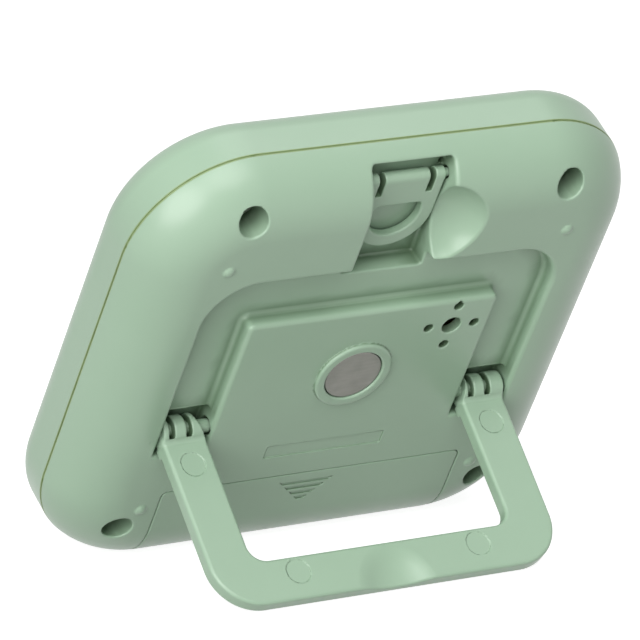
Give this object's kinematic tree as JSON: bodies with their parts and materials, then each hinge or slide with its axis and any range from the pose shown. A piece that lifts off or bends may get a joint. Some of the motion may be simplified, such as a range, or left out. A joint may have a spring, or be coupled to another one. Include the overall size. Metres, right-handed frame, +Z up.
{
  "type": "digital timer",
  "caption": "Square digital kitchen timer with a fold-out stand, a fold-out hanging hook, a back magnet, a sliding battery door and press buttons on its front.",
  "frame": {"origin": "centre of the bounding box's base, with the timer standing on its lower edge and its opened stand", "axes": "+Z up, +Y out of the back on the stand's side, +X to the left of someone who looks at the back; the case leans back about its lower edge"},
  "size_m": [0.0862, 0.0518, 0.0741],
  "materials": {
    "case_plastic": "satin moulded plastic, sage green",
    "magnet_metal": "dull nickel plate, worn",
    "screw_metal": "zinc plated",
    "window_plastic": "clear polished plastic",
    "display_glass": "grey-green display glass",
    "strip_rubber": "matt striped elastomer",
    "holder_plastic": "matt white",
    "board_laminate": "green solder mask",
    "blob_resin": "black epoxy",
    "can_metal": "drawn metal can",
    "capacitor_ceramic": "fired ceramic",
    "buzzer_brass": "thin rolled brass",
    "red_lead": "wire insulation",
    "black_lead": "wire insulation",
    "cell_jacket": "plain printed film, no marks",
    "contact_metal": "nickel-plated spring steel",
    "button_plastic": "satin off-white",
    "key_rubber": "matt silicone"
  },
  "bodies": {
    "case": {"rear_shell": "case_plastic", "front_shell": "case_plastic", "magnet": "magnet_metal", "case_screw_1": "screw_metal", "case_screw_2": "screw_metal", "case_screw_3": "screw_metal", "case_screw_4": "screw_metal", "display_window": "window_plastic", "lcd_glass": "display_glass", "lcd_connector": "strip_rubber", "lcd_holder": "holder_plastic", "circuit_board": "board_laminate", "controller_blob": "blob_resin", "quartz_crystal": "can_metal", "capacitor": "capacitor_ceramic", "board_screw_1": "screw_metal", "board_screw_2": "screw_metal", "board_screw_3": "screw_metal", "board_screw_4": "screw_metal", "buzzer_disc": "buzzer_brass", "buzzer_lead_red": "red_lead", "buzzer_lead_black": "black_lead", "contact_plate": "contact_metal", "spring_plate": "contact_metal", "contact_spring": "contact_metal", "key_membrane": "key_rubber", "battery_cell": "cell_jacket"},
    "stand": {"stand": "case_plastic"},
    "hook": {"hook": "case_plastic"},
    "minute_button": {"minute_button": "button_plastic"},
    "second_button": {"second_button": "button_plastic"},
    "start_stop_button": {"start_stop_button": "button_plastic"},
    "battery_cover": {"battery_cover": "case_plastic"}
  },
  "joints": [
    {"name": "stand_hinge", "type": "hinge", "parent": "case", "child": "stand", "pos_m": [0, 0.00184, 0.02377], "axis": [1, 0, 0], "range_deg": [0, 105.2]},
    {"name": "hook_hinge", "type": "hinge", "parent": "case", "child": "hook", "pos_m": [0, 0.02249, 0.06487], "axis": [1, 0, 0], "range_deg": [0, 145]},
    {"name": "minute_press", "type": "slide", "parent": "case", "child": "minute_button", "axis": [0, 0.8581, -0.5134], "range_m": [0, 0.0008], "stiffness_N_per_m": 600, "springref_m": -0.0005},
    {"name": "second_press", "type": "slide", "parent": "case", "child": "second_button", "axis": [0, 0.8581, -0.5134], "range_m": [0, 0.0008], "stiffness_N_per_m": 600, "springref_m": -0.0005},
    {"name": "start_stop_press", "type": "slide", "parent": "case", "child": "start_stop_button", "axis": [0, 0.8581, -0.5134], "range_m": [0, 0.0008], "stiffness_N_per_m": 600, "springref_m": -0.0005},
    {"name": "battery_cover_slide", "type": "slide", "parent": "case", "child": "battery_cover", "axis": [0, -0.5134, -0.8581], "range_m": [0, 0.02]}
  ]
}
